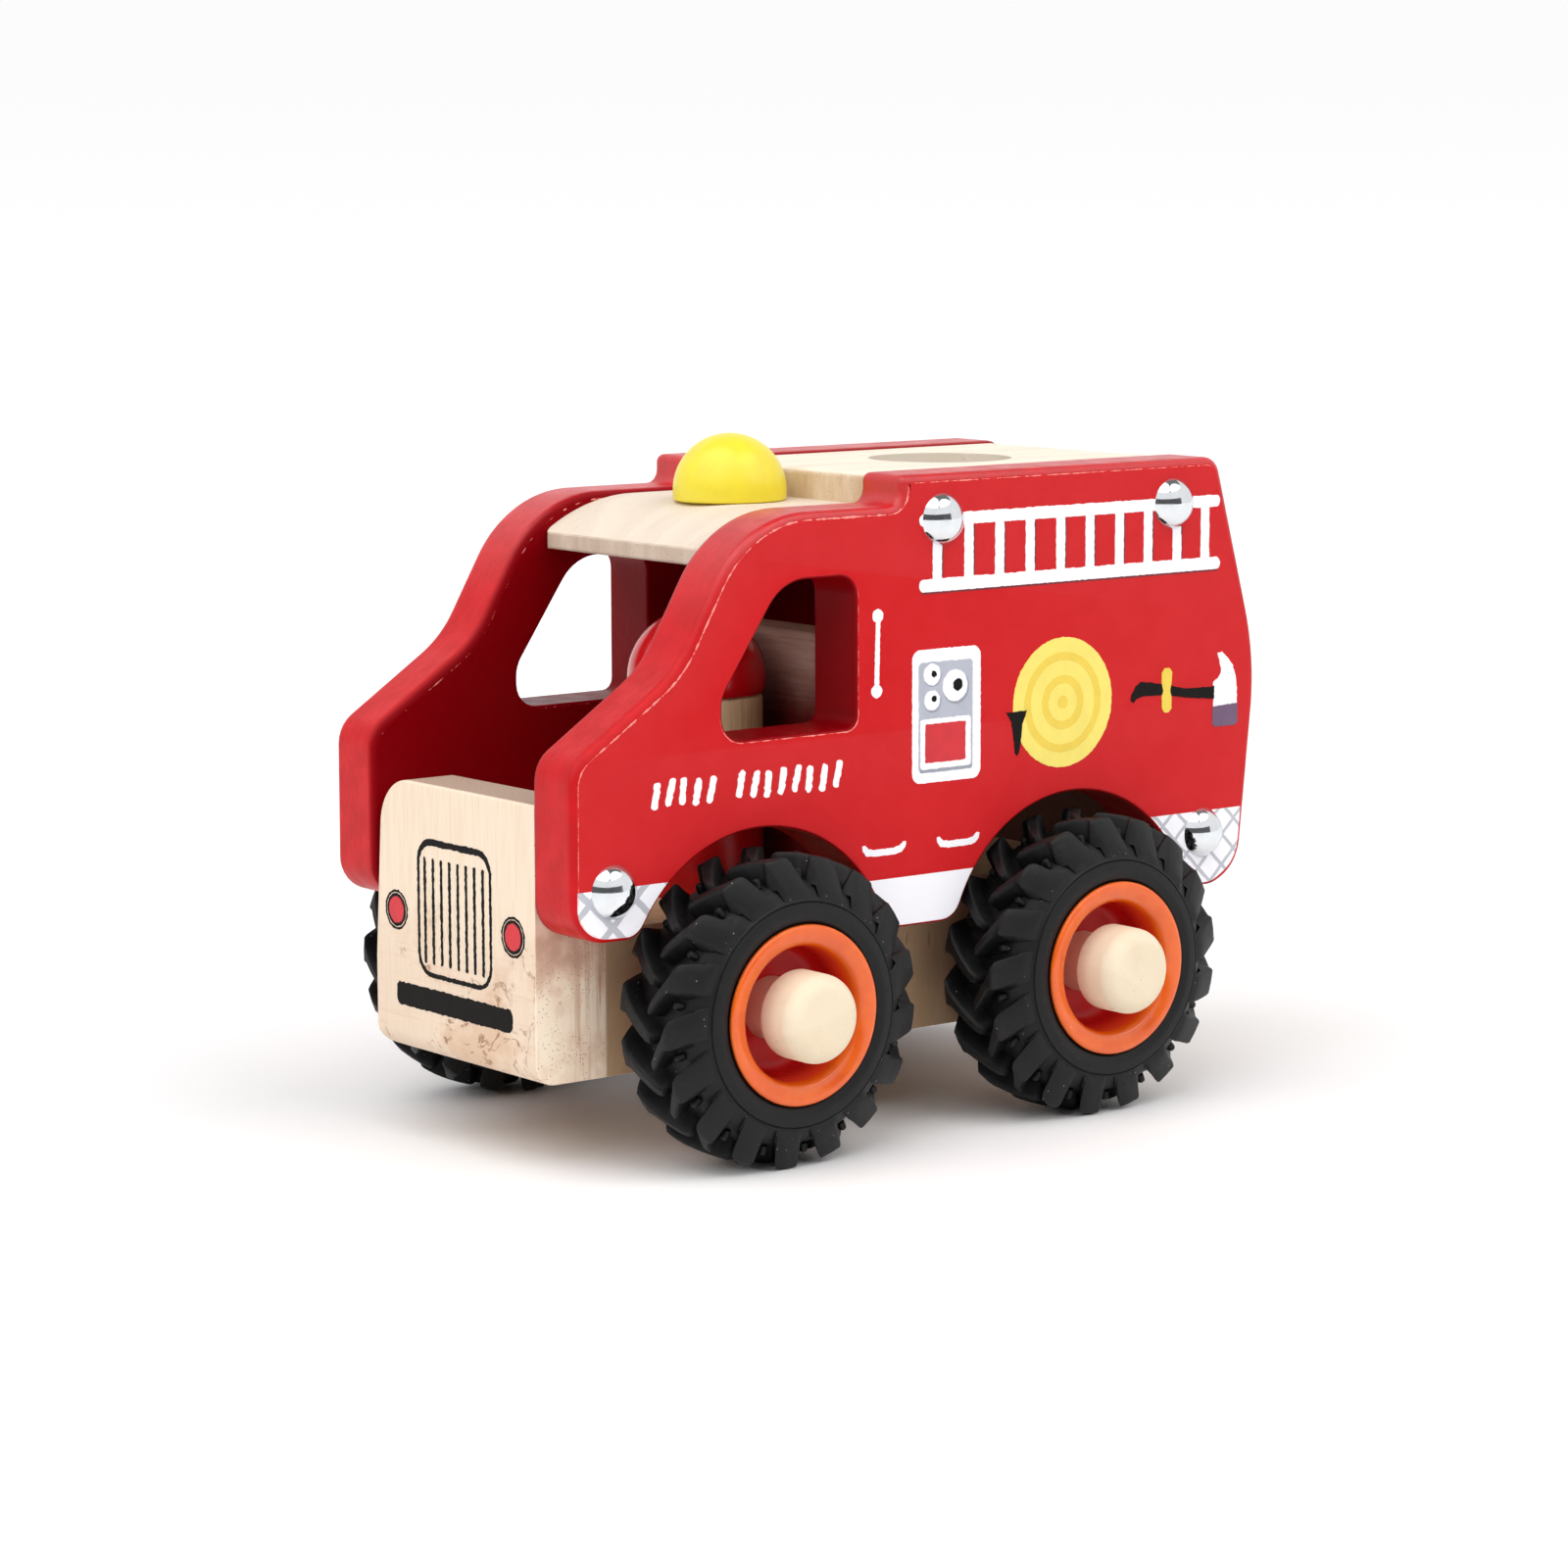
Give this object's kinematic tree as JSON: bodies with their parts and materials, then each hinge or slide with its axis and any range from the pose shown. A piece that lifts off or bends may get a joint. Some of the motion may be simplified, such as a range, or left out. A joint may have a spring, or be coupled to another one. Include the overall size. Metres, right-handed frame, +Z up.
{
  "type": "toy fire engine",
  "caption": "Wooden toy fire engine with painted side panels, rubber-tyred wheels on turning axles, a domed beacon and a loose peg driver.",
  "frame": {"origin": "on the ground, under the middle of the body's length and width", "axes": "+Z up, -Y towards the front of the toy, +X to its left side"},
  "size_m": [0.0932, 0.129, 0.1016],
  "materials": {
    "red_paint": "satin paint on wood",
    "bare_wood": "sanded, unvarnished",
    "pale_wood": "sanded, unvarnished",
    "yellow_paint": "gloss paint on wood",
    "orange_plastic": "glossy moulded",
    "black_rubber": "matt moulded",
    "chrome": "polished"
  },
  "bodies": {
    "body": {"side_panel_left": "red_paint", "side_panel_right": "red_paint", "front_board": "bare_wood", "rear_board": "bare_wood", "chassis_block": "bare_wood", "partition": "bare_wood", "cab_roof": "pale_wood", "roof_deck": "pale_wood", "beacon": "yellow_paint", "beacon_dowel": "bare_wood", "cab_roof_dowels": "bare_wood", "front_board_dowels": "bare_wood", "rear_board_dowels": "bare_wood", "panel_bolts_left": "chrome", "panel_bolts_right": "chrome"},
    "front_wheels": {"front_axle": "pale_wood", "rim_front_left": "orange_plastic", "rim_front_right": "orange_plastic", "tyre_front_left": "black_rubber", "tyre_front_right": "black_rubber"},
    "rear_wheels": {"rear_axle": "pale_wood", "rim_rear_left": "orange_plastic", "rim_rear_right": "orange_plastic", "tyre_rear_left": "black_rubber", "tyre_rear_right": "black_rubber"},
    "driver": {"driver_body": "pale_wood", "driver_helmet": "red_paint"}
  },
  "joints": [
    {"name": "front_axle_spin", "type": "hinge", "parent": "body", "child": "front_wheels", "pos_m": [0, -0.0327, 0.0225], "axis": [1, 0, 0], "continuous": true},
    {"name": "rear_axle_spin", "type": "hinge", "parent": "body", "child": "rear_wheels", "pos_m": [0, 0.0263, 0.0225], "axis": [1, 0, 0], "continuous": true},
    {"name": "driver_lift", "type": "slide", "parent": "body", "child": "driver", "axis": [0, 0, 1], "range_m": [0, 0.008]}
  ]
}
